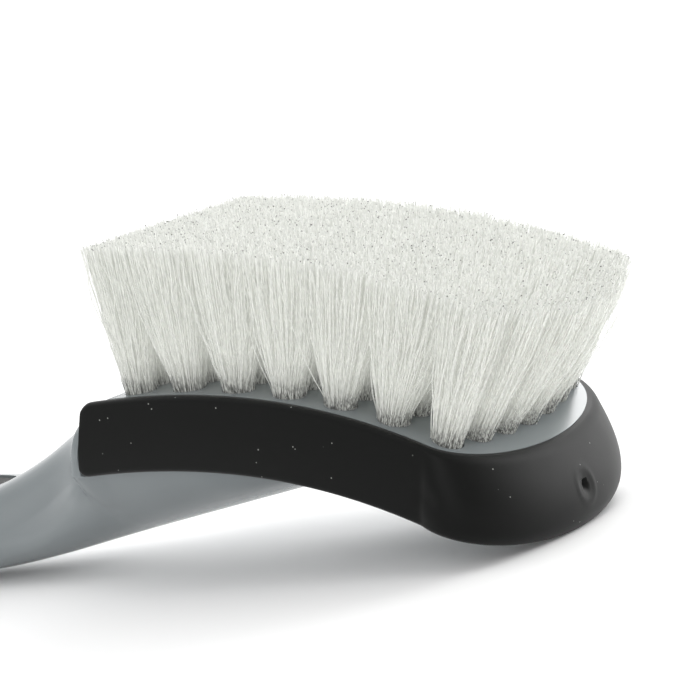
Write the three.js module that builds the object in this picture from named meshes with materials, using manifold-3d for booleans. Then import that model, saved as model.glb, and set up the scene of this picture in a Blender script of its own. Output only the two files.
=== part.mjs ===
// Wheel brush: a grey moulded body with an arched bristle plate, a black rubber bumper round
// the head, a black rubber pad let into the handle, and 49 bristle tufts in blind holes.
// Millimetres, +Z up. The brush lies on its back with the bristles up: the bumper's nose and
// the end of the handle touch the ground. +X points to the nose, and Y is the width.
import * as THREE from 'three';
import { mergeVertices } from 'three/addons/utils/BufferGeometryUtils.js';
import Module from 'manifold-3d';

// ---- driving dimensions (mm), in the head's own frame: plate level, x = 0 at its rear end ----
const PLATE_LENGTH = 96;
const PLATE_HALF_WIDTH = 30.2;
const REAR_ROUNDING = 5; // of the plate's rear edge, down toward the handle
const NOSE_LENGTH = 13; // the half ellipse that rounds the front of the plate
const ARCH_HEIGHT = 7.5; // the plate bulges toward the bristles by this much
const ARCH_SKEW = 1.3; // and a little more in its front half
const FIT_GAP = 0.3; // between pieces that touch

const BUMPER_HEIGHT = 16;
const BUMPER_THICKNESS = 1.9; // at the top edge
const BUMPER_SIDE_FLARE = 1; // the side wall leans out by this much
const BUMPER_NOSE_FLARE = 6; // and the nose far more
const BUMPER_BULGE_SHARE = 0.73; // of its height down, where it is widest
const BUMPER_TUCK_IN = 0.3; // share of the flare that is gone again at the bottom edge
const BUMPER_START = 1.1; // the band's square ends stand here, against the flange

const TONGUE_PROUD = 0.8; // rib round the core that keys into the bumper
const TONGUE_TOP = -6;
const TONGUE_BOTTOM = -10;

const TUFT_COLUMNS = 7;
const TUFT_ROWS = 7;
const TUFT_PITCH = 12.1;
const ROW_PITCH = 8.3;
const FIRST_TUFT_X = 12;
const FRONT_COLUMN_X = FIRST_TUFT_X + (TUFT_COLUMNS - 1) * TUFT_PITCH;
const FRONT_BOW = 3.4; // the front column curves forward with the nose
const HOLE_RADIUS = 3.4;
const HOLE_DEPTH = 8;
const TUFT_RADIUS = 2.95; // inside its hole
const TUFT_SPREAD = 1.5; // how far an outermost tuft opens past its own radius
const TUFT_GAP = 0.4;
// A tuft's four levels: how far up from the plate, and how far opened from round to its cell.
const TUFT_LEVELS = [
  { rise: 0, open: 0 }, // the root, which goes down into the hole
  { rise: 0, open: 0 }, // the hole's mouth
  { rise: 0.5, open: 0.62 },
  { rise: 1, open: 1 }, // the trimmed face
];
const CELL_SQUARENESS = 0.6; // 1 is a round tip, 0 a square one
const TRIM_HEIGHT = 36.9; // of the trimmed face, above the level of the plate's ends
const TRIM_DROP = 4.2; // how much lower the trimmed face is over the plate's ends
const SIDE_LEAN = 0.07; // outward lean at the plate's sides, per millimetre of height
const FRONT_LEAN = 0.12; // extra forward lean of the middle of the front column

const KEEL_SLOPE = 0.411; // the straight back line, from the head into the handle
const KEEL_AT_REAR = -35.3; // its height under the plate's rear end
const KEEL_FRONT_X = 64; // where it fades out behind the plate
const FLANGE_HALF_WIDTH = 32.4;
const HANDLE_END_X = -142;
const END_ROUNDING = 15;
const END_CLOSING = 0.97; // how nearly the end closes
const END_FULLNESS = 2.6; // a higher power keeps the end fuller
const TOP_FULLNESS = 0.5; // power of the handle's section above its widest line
const KEEL_FULLNESS = 0.84; // and below it, where the section is nearer to a V

const PAD_FRONT_X = -43;
const PAD_REAR_X = -112;
const PAD_HALF_WIDTH = 8.6;
const PAD_THICKNESS = 2.4;
const PAD_SINK = 0.5; // the pad lies this far below the handle's rim

const HANG_HOLE_X = -131.5;
const HANG_HOLE_RADIUS = 4.6;

// The ground line, through the bumper's nose and the end of the handle.
const GROUND_NOSE = new THREE.Vector2(100, -18.4);
const GROUND_END = new THREE.Vector2(-121, -74);

// ---- fineness of the shapes ----
const PLAN_SEGMENTS = 24; // on a curve of the plan
const HEIGHT_STEPS = 24; // along a height line
const REAR_EDGE_STEPS = 5; // over the plate's rounded rear edge
const SECTION_SIDES = 32; // round the handle
const SECTION_COUNT = 56; // along it
const BAND_STEPS = 64; // along the bumper
const BAND_LEVELS = 6; // down its wall
const HOLE_SIDES = 12;
const TUFT_SIDES = 8;
const HANG_HOLE_SIDES = 20;

// Blocks that only cut reach past the brush on every side.
const CUT_REACH = 400;
const CUT_MARGIN = 8; // past the plate's front end
const HOLE_CLEARANCE = 4; // above the plate
const CUT_HEIGHT = 20; // above the plate or the handle

const PLASTIC = { color: 0x7a8081, roughness: 0.38, metalness: 0 };
const RUBBER = { color: 0x1d1e1e, roughness: 0.55, metalness: 0 };
const NYLON = { color: 0xe3e5e2, roughness: 0.35, metalness: 0 };

const wasm = await Module();
wasm.setup();

// ---- curves of the head and the handle ----

function archHeight(x) {
  const u = x / PLATE_LENGTH;
  return 4 * u * (1 - u) * (ARCH_HEIGHT + ARCH_SKEW * (u - 0.5));
}

// The plate's surface: the arch, rounded down over its rear edge.
function plateTop(x) {
  const short = Math.max(REAR_ROUNDING - x, 0);
  return archHeight(x) - REAR_ROUNDING + Math.sqrt(REAR_ROUNDING ** 2 - short ** 2);
}

function archSlope(x) {
  return archHeight(x + 0.5) - archHeight(x - 0.5);
}

function trimHeight(x) {
  const u = (x - PLATE_LENGTH / 2) / (PLATE_LENGTH / 2 + 4);
  return TRIM_HEIGHT - TRIM_DROP * u * u;
}

// A smooth line through a few [x, value] stations.
function stationLine(stations) {
  const last = stations.length - 1;
  const slopes = stations.map((station, k) => {
    const before = stations[Math.max(k - 1, 0)];
    const after = stations[Math.min(k + 1, last)];
    return (after[1] - before[1]) / (after[0] - before[0]);
  });
  return (x) => {
    let i = 0;
    while (i < last - 1 && x > stations[i + 1][0]) i += 1;
    const [x0, start] = stations[i];
    const [x1, end] = stations[i + 1];
    const span = x1 - x0;
    const t = THREE.MathUtils.clamp((x - x0) / span, 0, 1);
    const a = slopes[i] * span - (end - start);
    const b = end - start - slopes[i + 1] * span;
    return THREE.MathUtils.lerp(start, end, t) + t * (1 - t) * (a * (1 - t) + b * t);
  };
}

const handleTop = stationLine([
  [-142, -61.5], [-128, -55], [-112, -48], [-92, -41.6], [-72, -37.3], [-55, -34.9], [-44, -32.6],
  [-34, -27.2], [-24, -20.3], [-15, -13], [-7, -7], [-1.5, -3.4], [0.5, -3], [6, -3],
  [30, 2], [KEEL_FRONT_X, 0],
]);
const handleBottom = stationLine([
  [-142, -79.5], [-122, -75], [-112, -71.2], [-98, -66.2], [-75, -60], [-58, -56.2], [-45, -52.9],
  [-30, KEEL_AT_REAR - 30 * KEEL_SLOPE], [0, KEEL_AT_REAR],
  [KEEL_FRONT_X, KEEL_AT_REAR + KEEL_FRONT_X * KEEL_SLOPE],
]);
const bodyHalfWidth = stationLine([
  [-142, 14.5], [-124, 15.6], [-100, 15], [-75, 16], [-50, 14.6], [-34, 14.2], [-20, 15.2],
  [-13, 17.4], [-8, 21], [-4, 26.4], [-1, FLANGE_HALF_WIDTH], [1.2, FLANGE_HALF_WIDTH],
  [6, 29.6], [30, 27.5], [KEEL_FRONT_X, 17],
]);
const widestHeight = stationLine([
  [-142, -70], [-100, -54], [-60, -45], [-30, -36], [-12, -22.5], [-1.5, -15.5], [1, -15.5],
  [24, archHeight(24) - 15.5], [KEEL_FRONT_X, archHeight(KEEL_FRONT_X) - 13],
]);

// ---- building blocks ----

function toSolid(geometry) {
  const plain = geometry.clone();
  plain.deleteAttribute('normal');
  plain.deleteAttribute('uv');
  const merged = mergeVertices(plain, 1e-4);
  return new wasm.Manifold(new wasm.Mesh({
    numProp: 3,
    vertProperties: new Float32Array(merged.attributes.position.array),
    triVerts: new Uint32Array(merged.index.array),
  }));
}

function toGeometry(solid) {
  const mesh = solid.getMesh();
  const geometry = new THREE.BufferGeometry();
  geometry.setAttribute('position', new THREE.BufferAttribute(mesh.vertProperties, 3));
  geometry.setIndex(new THREE.BufferAttribute(mesh.triVerts, 1));
  geometry.computeVertexNormals();
  return geometry;
}

// Moves every vertex of a geometry to place(vertex).
function reshape(geometry, place) {
  const position = geometry.attributes.position;
  const vertex = new THREE.Vector3();
  for (let i = 0; i < position.count; i += 1) {
    const moved = place(vertex.fromBufferAttribute(position, i));
    position.setXYZ(i, moved.x, moved.y, moved.z);
  }
  return geometry;
}

// An upright prism over a plan outline, tall enough to pass through the whole brush.
function prism(shape) {
  const options = { depth: CUT_REACH, bevelEnabled: false, curveSegments: PLAN_SEGMENTS };
  const geometry = new THREE.ExtrudeGeometry(shape, options);
  geometry.translate(0, 0, -CUT_REACH / 2);
  return toSolid(geometry);
}

// Evenly spaced values from start to end.
function spread(start, end, steps) {
  return Array.from({ length: steps + 1 }, (_, i) => THREE.MathUtils.lerp(start, end, i / steps));
}

// A slab across the whole width, between two height lines over the stations along x.
function slab(stations, topLine, bottomLine) {
  const outline = stations.map((x) => new THREE.Vector2(x, bottomLine(x)));
  [...stations].reverse().forEach((x) => outline.push(new THREE.Vector2(x, topLine(x))));
  const options = { depth: CUT_REACH, bevelEnabled: false };
  const geometry = new THREE.ExtrudeGeometry(new THREE.Shape(outline), options);
  geometry.translate(0, 0, -CUT_REACH / 2);
  geometry.rotateX(Math.PI / 2);
  return toSolid(geometry);
}

// The plate's outline grown sideways and forward: square rear end, half-elliptical nose.
function plateShape(grow) {
  const straightEnd = PLATE_LENGTH - NOSE_LENGTH;
  const halfWidth = PLATE_HALF_WIDTH + grow;
  const shape = new THREE.Shape();
  shape.moveTo(0, -halfWidth);
  shape.lineTo(straightEnd, -halfWidth);
  shape.absellipse(straightEnd, 0, NOSE_LENGTH + grow, halfWidth, -Math.PI / 2, Math.PI / 2, false, 0);
  shape.lineTo(0, halfWidth);
  shape.closePath();
  return shape;
}

// The open line that the bumper follows, from one rear corner round the nose to the other.
function bumperPath() {
  const straightEnd = PLATE_LENGTH - NOSE_LENGTH;
  const path = new THREE.Path();
  path.moveTo(BUMPER_START, -PLATE_HALF_WIDTH);
  path.lineTo(straightEnd, -PLATE_HALF_WIDTH);
  path.absellipse(straightEnd, 0, NOSE_LENGTH, PLATE_HALF_WIDTH, -Math.PI / 2, Math.PI / 2, false, 0);
  path.lineTo(BUMPER_START, PLATE_HALF_WIDTH);
  return path;
}

function tongueSpace(gap) {
  const heights = slab(
    spread(0, PLATE_LENGTH + CUT_MARGIN, HEIGHT_STEPS),
    (x) => archHeight(x) + TONGUE_TOP + gap,
    (x) => archHeight(x) + TONGUE_BOTTOM - gap,
  );
  return prism(plateShape(TONGUE_PROUD + gap)).intersect(heights);
}

// ---- bristle layout ----

function tuftPlace(column, row) {
  const y = (row - (TUFT_ROWS - 1) / 2) * ROW_PITCH;
  const isFront = column === TUFT_COLUMNS - 1;
  const share = y / (((TUFT_ROWS - 1) / 2) * ROW_PITCH);
  const bow = isFront ? FRONT_BOW * (1 - share * share) : 0;
  return new THREE.Vector2(FIRST_TUFT_X + column * TUFT_PITCH + bow, y);
}

// Sideways travel per millimetre of height: square to the arched plate, and a little more.
function lean(place) {
  const middleShare = 1 - (place.y / PLATE_HALF_WIDTH) ** 2;
  const forward = place.x > FRONT_COLUMN_X - 1 ? FRONT_LEAN * middleShare : 0;
  return new THREE.Vector2(forward - archSlope(place.x), SIDE_LEAN * (place.y / PLATE_HALF_WIDTH));
}

function tipPlace(place) {
  const rise = trimHeight(place.x) - archHeight(place.x);
  return place.clone().addScaledVector(lean(place), rise);
}

// ---- pieces ----

function loftedBody() {
  const unit = new THREE.CylinderGeometry(1, 1, 1, SECTION_SIDES, SECTION_COUNT);
  reshape(unit, (v) => {
    const share = v.y + 0.5;
    const x = THREE.MathUtils.lerp(HANDLE_END_X, KEEL_FRONT_X, share);
    const intoEnd = THREE.MathUtils.clamp(1 - (x - HANDLE_END_X) / END_ROUNDING, 0, 1);
    const closing = Math.sqrt(1 - END_CLOSING * intoEnd ** END_FULLNESS);
    const radius = Math.hypot(v.x, v.z);
    const across = radius > 0 ? -v.x / radius : 0;
    const upward = radius > 0 ? v.z / radius : 0;
    const power = upward > 0 ? TOP_FULLNESS : KEEL_FULLNESS;
    const middle = widestHeight(x);
    const reachZ = upward > 0 ? handleTop(x) - middle : middle - handleBottom(x);
    const y = Math.sign(across) * Math.abs(across) ** power * bodyHalfWidth(x);
    const z = Math.sign(upward) * Math.abs(upward) ** power * reachZ;
    return new THREE.Vector3(x, y * radius * closing, middle + z * radius * closing);
  });
  return toSolid(unit);
}

function padSolid(gap) {
  const length = PAD_FRONT_X - PAD_REAR_X + 2 * gap;
  const halfWidth = PAD_HALF_WIDTH + gap;
  const shape = new THREE.Shape();
  const frontCentre = PAD_FRONT_X + gap - halfWidth;
  const rearCentre = frontCentre - length + 2 * halfWidth;
  shape.absarc(frontCentre, 0, halfWidth, -Math.PI / 2, Math.PI / 2, false);
  shape.absarc(rearCentre, 0, halfWidth, Math.PI / 2, 1.5 * Math.PI, false);
  shape.closePath();
  const topRise = gap > 0 ? CUT_HEIGHT : -PAD_SINK; // the pocket is open at the top
  const heights = slab(
    spread(PAD_REAR_X - CUT_MARGIN, PAD_FRONT_X + CUT_MARGIN, HEIGHT_STEPS),
    (x) => handleTop(x) + topRise,
    (x) => handleTop(x) - PAD_SINK - PAD_THICKNESS - gap,
  );
  return prism(shape).intersect(heights);
}

function groundBlock() {
  const block = new THREE.BoxGeometry(CUT_REACH, CUT_REACH, CUT_REACH);
  block.translate(0, 0, -CUT_REACH / 2);
  block.rotateY(-restTilt());
  block.translate((GROUND_END.x + GROUND_NOSE.x) / 2, 0, (GROUND_END.y + GROUND_NOSE.y) / 2);
  return toSolid(block);
}

function restTilt() {
  return Math.atan2(GROUND_NOSE.y - GROUND_END.y, GROUND_NOSE.x - GROUND_END.x);
}

function tuftHoles() {
  const holes = tuftPlaces().map((place) => {
    const length = HOLE_DEPTH + HOLE_CLEARANCE;
    const hole = new THREE.CylinderGeometry(HOLE_RADIUS, HOLE_RADIUS, length, HOLE_SIDES);
    hole.rotateX(Math.PI / 2);
    hole.translate(0, 0, length / 2 - HOLE_DEPTH);
    const slant = lean(place);
    reshape(hole, (v) => new THREE.Vector3(v.x + slant.x * v.z, v.y + slant.y * v.z, v.z));
    hole.translate(place.x, place.y, archHeight(place.x));
    return toSolid(hole);
  });
  return wasm.Manifold.union(holes);
}

function tuftPlaces() {
  const places = [];
  for (let column = 0; column < TUFT_COLUMNS; column += 1) {
    for (let row = 0; row < TUFT_ROWS; row += 1) places.push(tuftPlace(column, row));
  }
  return places;
}

function bodySolid() {
  const overBumper = slab(
    spread(BUMPER_START - FIT_GAP, PLATE_LENGTH + CUT_MARGIN, HEIGHT_STEPS),
    () => CUT_HEIGHT,
    (x) => archHeight(x) - BUMPER_HEIGHT - FIT_GAP,
  );
  const coreHeights = slab(
    [
      ...spread(0, REAR_ROUNDING, REAR_EDGE_STEPS),
      ...spread(REAR_ROUNDING, PLATE_LENGTH + CUT_MARGIN, HEIGHT_STEPS).slice(1),
    ],
    plateTop,
    (x) => archHeight(x) - BUMPER_HEIGHT - 2 * FIT_GAP,
  );
  const core = prism(plateShape(0)).intersect(coreHeights);
  const hangHole = new THREE.CylinderGeometry(
    HANG_HOLE_RADIUS,
    HANG_HOLE_RADIUS,
    CUT_REACH,
    HANG_HOLE_SIDES,
  );
  hangHole.rotateX(Math.PI / 2);
  hangHole.rotateY(-restTilt());
  hangHole.translate(HANG_HOLE_X, 0, handleTop(HANG_HOLE_X));
  return loftedBody()
    .subtract(overBumper)
    .add(core)
    .add(tongueSpace(0))
    .subtract(tuftHoles())
    .subtract(padSolid(FIT_GAP))
    .subtract(toSolid(hangHole))
    .subtract(groundBlock());
}

// How far the bumper's outer wall stands off the plate, at a share of its height down from the
// top, where its face points forward by noseShare (0 on the sides, 1 at the tip).
function bumperReach(depthShare, noseShare) {
  const below = depthShare / BUMPER_BULGE_SHARE;
  const past = Math.max(depthShare - BUMPER_BULGE_SHARE, 0) / (1 - BUMPER_BULGE_SHARE);
  const bulge = below < 1 ? Math.sin((below * Math.PI) / 2) : 1 - BUMPER_TUCK_IN * past * past;
  const flare = THREE.MathUtils.lerp(BUMPER_SIDE_FLARE, BUMPER_NOSE_FLARE, noseShare);
  return BUMPER_THICKNESS + flare * bulge;
}

function bumperSolid() {
  const path = bumperPath();
  const band = new THREE.BoxGeometry(1, 1, 1, BAND_STEPS, BAND_LEVELS, 1);
  reshape(band, (v) => {
    const along = THREE.MathUtils.clamp(v.x + 0.5, 0, 1);
    const depthShare = 0.5 - v.y;
    const point = path.getPointAt(along);
    const tangent = path.getTangentAt(along);
    const outward = new THREE.Vector2(tangent.y, -tangent.x);
    const noseShare = Math.max(outward.x, 0);
    const reach = v.z > 0 ? bumperReach(depthShare, noseShare) : FIT_GAP;
    const place = point.addScaledVector(outward, reach);
    return new THREE.Vector3(place.x, place.y, archHeight(place.x) - depthShare * BUMPER_HEIGHT);
  });
  return toSolid(band)
    .subtract(tongueSpace(FIT_GAP))
    .subtract(groundBlock());
}

// Half the room a tuft's tip has toward a neighbour, or its free spread where it has none.
function tipRoom(tip, neighbour, axis) {
  if (!neighbour) return TUFT_RADIUS + TUFT_SPREAD;
  return Math.abs(tipPlace(neighbour)[axis] - tip[axis]) / 2 - TUFT_GAP / 2;
}

function tuftGeometry(column, row) {
  const place = tuftPlace(column, row);
  const tip = tipPlace(place);
  const slant = lean(place);
  const at = (c, r) => {
    const inside = c >= 0 && c < TUFT_COLUMNS && r >= 0 && r < TUFT_ROWS;
    return inside ? tuftPlace(c, r) : null;
  };
  const room = {
    rear: tipRoom(tip, at(column - 1, row), 'x'),
    front: tipRoom(tip, at(column + 1, row), 'x'),
    right: tipRoom(tip, at(column, row - 1), 'y'),
    left: tipRoom(tip, at(column, row + 1), 'y'),
  };
  const plate = archHeight(place.x);
  const root = plate - HOLE_DEPTH + 2 * FIT_GAP;
  const steps = TUFT_LEVELS.length - 1;
  const unit = new THREE.CylinderGeometry(1, 1, 1, TUFT_SIDES, steps);
  unit.rotateX(Math.PI / 2);
  return reshape(unit, (v) => {
    const level = Math.round((v.z + 0.5) * steps);
    const { open, rise: riseShare } = TUFT_LEVELS[level];
    const isRoot = level === 0;
    const rise = isRoot ? root - plate : (trimHeight(place.x) - plate) * riseShare;
    const roomX = v.x > 0 ? room.front : room.rear;
    const roomY = v.y > 0 ? room.left : room.right;
    const squareX = Math.sign(v.x) * Math.abs(v.x) ** CELL_SQUARENESS * roomX;
    const squareY = Math.sign(v.y) * Math.abs(v.y) ** CELL_SQUARENESS * roomY;
    const outX = THREE.MathUtils.lerp(v.x * TUFT_RADIUS, squareX, open);
    const outY = THREE.MathUtils.lerp(v.y * TUFT_RADIUS, squareY, open);
    const x = place.x + slant.x * rise + outX;
    const y = place.y + slant.y * rise + outY;
    return new THREE.Vector3(x, y, level === steps ? trimHeight(x) : plate + rise);
  });
}

// ---- assembly ----

function addPiece(group, name, geometry, finish) {
  const mesh = new THREE.Mesh(geometry, new THREE.MeshStandardMaterial(finish));
  mesh.name = name;
  group.add(mesh);
}

const head = new THREE.Group();
addPiece(head, 'body', toGeometry(bodySolid()), PLASTIC);
addPiece(head, 'bumper', toGeometry(bumperSolid()), RUBBER);
addPiece(head, 'grip_pad', toGeometry(padSolid(0)), RUBBER);
for (let column = 0; column < TUFT_COLUMNS; column += 1) {
  for (let row = 0; row < TUFT_ROWS; row += 1) {
    addPiece(head, `tuft_${column + 1}_${row + 1}`, tuftGeometry(column, row), NYLON);
  }
}

// Laid on the ground, with the origin under the middle of the whole brush.
head.rotation.y = restTilt();
head.updateMatrixWorld(true);
const extent = new THREE.Box3().setFromObject(head, true);
head.position.set(-(extent.min.x + extent.max.x) / 2, 0, -extent.min.z);

const brush = new THREE.Group();
brush.add(head);

export default brush;
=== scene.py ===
"""Wheel brush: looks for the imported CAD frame, laid out as a Blender add-on and run as a script.

Every piece is modelled in millimetres in the head's own frame (plate level, x = 0 at its rear
end, +Z the way the bristles point) and laid into the object's frame as its last step.
"""

import math

import bmesh
import bpy
import numpy as np
from bpy.props import FloatProperty, FloatVectorProperty, IntProperty, PointerProperty
from mathutils import Matrix, Vector


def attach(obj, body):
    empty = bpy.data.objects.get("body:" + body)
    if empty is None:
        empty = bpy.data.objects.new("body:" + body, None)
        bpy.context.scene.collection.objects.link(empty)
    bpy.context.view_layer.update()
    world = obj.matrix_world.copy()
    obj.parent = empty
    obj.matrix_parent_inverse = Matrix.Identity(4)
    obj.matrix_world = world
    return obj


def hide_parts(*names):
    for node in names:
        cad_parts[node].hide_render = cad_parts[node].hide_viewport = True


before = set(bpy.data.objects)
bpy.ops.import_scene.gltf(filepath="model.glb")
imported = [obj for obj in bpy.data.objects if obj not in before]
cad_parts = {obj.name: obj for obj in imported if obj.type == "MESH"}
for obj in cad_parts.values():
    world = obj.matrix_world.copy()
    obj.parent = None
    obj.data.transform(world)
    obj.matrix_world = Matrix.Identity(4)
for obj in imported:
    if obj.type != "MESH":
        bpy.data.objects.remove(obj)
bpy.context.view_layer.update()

bl_info = {
    "name": "Wheel Brush",
    "version": (1, 0, 0),
    "blender": (4, 5, 0),
    "location": "View3D > Sidebar > Wheel Brush",
    "description": "Builds a car wheel brush with moulded body, rubber bumper and bristle tufts",
    "category": "Add Mesh",
}

# ---- the head's frame, in millimetres ----

PLATE_LENGTH = 96.0
PLATE_HALF_WIDTH = 30.2
NOSE_LENGTH = 13.0
NOSE_START = PLATE_LENGTH - NOSE_LENGTH
REAR_ROUNDING = 8.0
ARCH_HEIGHT = 7.5
ARCH_SKEW = 1.3

BUMPER_HEIGHT = 16.0
BUMPER_THICKNESS = 1.9
BUMPER_GAP = 0.06  # to the plate's edge
BUMPER_SIDE_FLARE = 1.0
BUMPER_NOSE_FLARE = 6.0
BUMPER_BULGE_SHARE = 0.73  # how far down the wall stands off most
BUMPER_TUCK = 0.3  # share of the flare that is lost again at the lower edge
BUMPER_EDGE_RADIUS = 1.1
BUMPER_START = 1.1
BUMPER_CORNER = 2.4  # radius of the band's corners at its two ends
BUMPER_END_SOFTNESS = 0.5  # over this length the wall rounds in at each end
GATE_X = PLATE_LENGTH + 7.0
GATE_DEPTH = 6.8  # of the moulding gate's mark, below the arch where it runs on past the nose

COLUMNS = 7
ROWS = 7
TUFT_PITCH = 12.1
ROW_PITCH = 8.3
FIRST_TUFT_X = 12.0
FRONT_BOW = 3.4
HOLE_RADIUS = 3.4
HOLE_DEPTH = 8.0
TRIM_HEIGHT = 36.9
TRIM_DROP = 4.2  # how much lower the trimmed face is at its two ends
TRIM_HALF_LENGTH = PLATE_LENGTH / 2 + 4.0
SIDE_LEAN = 0.07
FRONT_LEAN = 0.14
FRONT_TRIM_X = 92.0  # from here on, the trimmed face is cut lower
FRONT_TRIM_SLOPE = 0.22
SIDE_TRIM_DROP = 0.8  # how much lower the trimmed face is at its front corners
SIDE_TRIM_HALF_WIDTH = 28.0
SIDE_TRIM_START = 60.0
SIDE_TRIM_RUN = 30.0

ROOT_DEPTH = 5.0  # how deep in its hole a filament starts
MOUTH_CLEARANCE = 0.35  # between the outer filaments and the hole's wall
FREE_ROOM = (2.9, 3.9)  # how far the outer tufts open, along the head and across it
TIP_SPREAD = 0.95  # how far filaments cross each other
STRAY_SHARE = 0.012  # of the filaments open too far,
STRAY_REACH = 0.7  # by this share more
CUT_SPREAD = 0.16
MOUTH_SPREAD = 0.16
SHORT_SPREAD = 0.3  # how much shorter than the trimmed face many filaments stay
WAVE_SIZE = 0.36
WAVES = 1.3  # along a filament, from the plate to its tip
CRIMP_SIZE = 0.22
CRIMPS = (2.5, 5.0)  # along a filament, fewest and most
OPENING = (1.0, 2.1)  # 1 opens a filament evenly along its height, and more opens it sooner
STAPLE_SIZE = (5.6, 0.35, 1.8)
STAPLE_RISE = 1.4  # over the bottom of its hole
FIRST_SEED = 1000

KEEL_SLOPE = 0.411
KEEL_AT_REAR = -35.3
KEEL_FRONT_X = 64.0
FLANGE_X = 0.8
FLANGE_HALF_WIDTH = 32.4
HULL_GAP = 0.3  # between the hull and the bumper's lower edge
HANDLE_END_X = -142.0
END_ROUNDING = 15.0
END_CLOSING = 0.985  # how far the section closes at the very end
END_POWER = 2.4
UPPER_FULLNESS = 0.42  # powers of the section: under 1 is squarer than an ellipse
HANDLE_FULLNESS = 0.84
KEEL_FULLNESS = 1.14
KEEL_BLEND_X = (-20.0, 2.0)  # from the handle's section to the keel's
LEAST_REACH = 0.02

PAD_FRONT_X = -43.0
PAD_REAR_X = -112.0
PAD_HALF_WIDTH = 8.6
PAD_THICKNESS = 2.4
PAD_SINK = 0.5
POCKET_GAP = 0.12
POCKET_OVERCUT = 8.0
RIB_PITCH = 4.2
RIB_HEIGHT = 0.45
RIB_END_MARGIN = 12.0
PAD_CROWN = 0.25
PAD_EDGE_DROP = 0.5

HANG_HOLE_X = -131.5
HANG_HOLE_RADIUS = 4.6

# Cutters that stand square to the ground, in metres.
HANG_CUTTER_LENGTH = 0.08
HANG_CUTTER_HEIGHT = 0.02
GROUND_CUTTER = (0.5, 0.2, 0.05)

GROUND_NOSE = (100.0, -18.4)
GROUND_END = (-121.0, -74.0)

# The head's frame stands in the object's frame turned nose down by this tilt, with the plate's
# rear end this far from the object's origin.
HEAD_TILT = math.atan2(GROUND_NOSE[1] - GROUND_END[1], GROUND_NOSE[0] - GROUND_END[0])
HEAD_PLACE = Vector((0.02276, 0.0, 0.04224))
MM = 0.001
HEAD_TO_FRAME = (
    Matrix.Translation(HEAD_PLACE)
    @ Matrix.Rotation(HEAD_TILT, 4, "Y")
    @ Matrix.Diagonal((MM, MM, MM, 1.0))
)

# How the brush is looked at: angles from the plate's level, distance and aim in millimetres.
VIEW_AZIMUTH = math.radians(30.62)
VIEW_ELEVATION = math.radians(14.93)
VIEW_DISTANCE = 574.9
VIEW_AIM = Vector((47.7, 0.0, 11.06))
SENSOR_MM = 36.0
LENS_MM = 142.05


def linear(hex_colour):
    """An sRGB hex colour as linear RGBA."""
    channels = [int(hex_colour[i : i + 2], 16) / 255 for i in (1, 3, 5)]
    toe = [c / 12.92 if c <= 0.04045 else ((c + 0.055) / 1.055) ** 2.4 for c in channels]
    return (*toe, 1.0)


class WheelBrushSettings(bpy.types.PropertyGroup):
    """Sizes and colours that a user would change."""

    strands_per_tuft: IntProperty(
        name="Strands per tuft",
        description="Nylon filaments standing out of each hole",
        default=340,
        min=20,
        max=600,
    )
    strand_diameter: FloatProperty(
        name="Strand diameter",
        description="Thickness of one nylon filament",
        default=0.00030,
        min=0.0001,
        max=0.001,
        unit="LENGTH",
    )
    body_colour: FloatVectorProperty(
        name="Body colour",
        description="Grey of the moulded body",
        default=linear("#7A8082"),
        size=4,
        min=0.0,
        max=1.0,
        subtype="COLOR",
    )
    rubber_colour: FloatVectorProperty(
        name="Rubber colour",
        description="Black of the bumper and the grip pad",
        default=linear("#070807"),
        size=4,
        min=0.0,
        max=1.0,
        subtype="COLOR",
    )
    bristle_colour: FloatVectorProperty(
        name="Bristle colour",
        description="White of the nylon filaments",
        default=linear("#F0F1ED"),
        size=4,
        min=0.0,
        max=1.0,
        subtype="COLOR",
    )
    floor_colour: FloatVectorProperty(
        name="Floor colour",
        description="Pale colour of the floor",
        default=linear("#F7F7F7"),
        size=4,
        min=0.0,
        max=1.0,
        subtype="COLOR",
    )


# ---- curves of the head and the handle, in millimetres ----


def arch_height(x):
    u = x / PLATE_LENGTH
    return 4 * u * (1 - u) * (ARCH_HEIGHT + ARCH_SKEW * (u - 0.5))


def arch_slope(x):
    return arch_height(x + 0.5) - arch_height(x - 0.5)


def plate_top(x):
    """The plate's surface: the arch, rounded down over its rear edge."""
    short = max(REAR_ROUNDING - x, 0.0)
    fall = REAR_ROUNDING - math.sqrt(max(REAR_ROUNDING**2 - short**2, 0.0))
    return arch_height(x) - fall


def trim_height(x):
    u = (x - PLATE_LENGTH / 2) / TRIM_HALF_LENGTH
    return TRIM_HEIGHT - TRIM_DROP * u * u


def tip_height(x, y):
    """The trimmed face at arrays of places, cut lower round the nose."""
    front = np.clip((x - SIDE_TRIM_START) / SIDE_TRIM_RUN, 0, 1)
    side = SIDE_TRIM_DROP * (y / SIDE_TRIM_HALF_WIDTH) ** 4 * front
    return trim_height(x) - FRONT_TRIM_SLOPE * np.maximum(x - FRONT_TRIM_X, 0) - side


def station_line(*stations):
    """A smooth line through a few (x, value) stations."""
    xs = [x for x, _ in stations]
    values = [value for _, value in stations]
    last = len(stations) - 1
    slopes = []
    for k in range(last + 1):
        before, after = max(k - 1, 0), min(k + 1, last)
        slopes.append((values[after] - values[before]) / (xs[after] - xs[before]))

    def line(x):
        i = 0
        while i < last - 1 and x > xs[i + 1]:
            i += 1
        span = xs[i + 1] - xs[i]
        rise = values[i + 1] - values[i]
        t = min(max((x - xs[i]) / span, 0.0), 1.0)
        a = slopes[i] * span - rise
        b = rise - slopes[i + 1] * span
        return values[i] + rise * t + t * (1 - t) * (a * (1 - t) + b * t)

    return line


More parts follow.
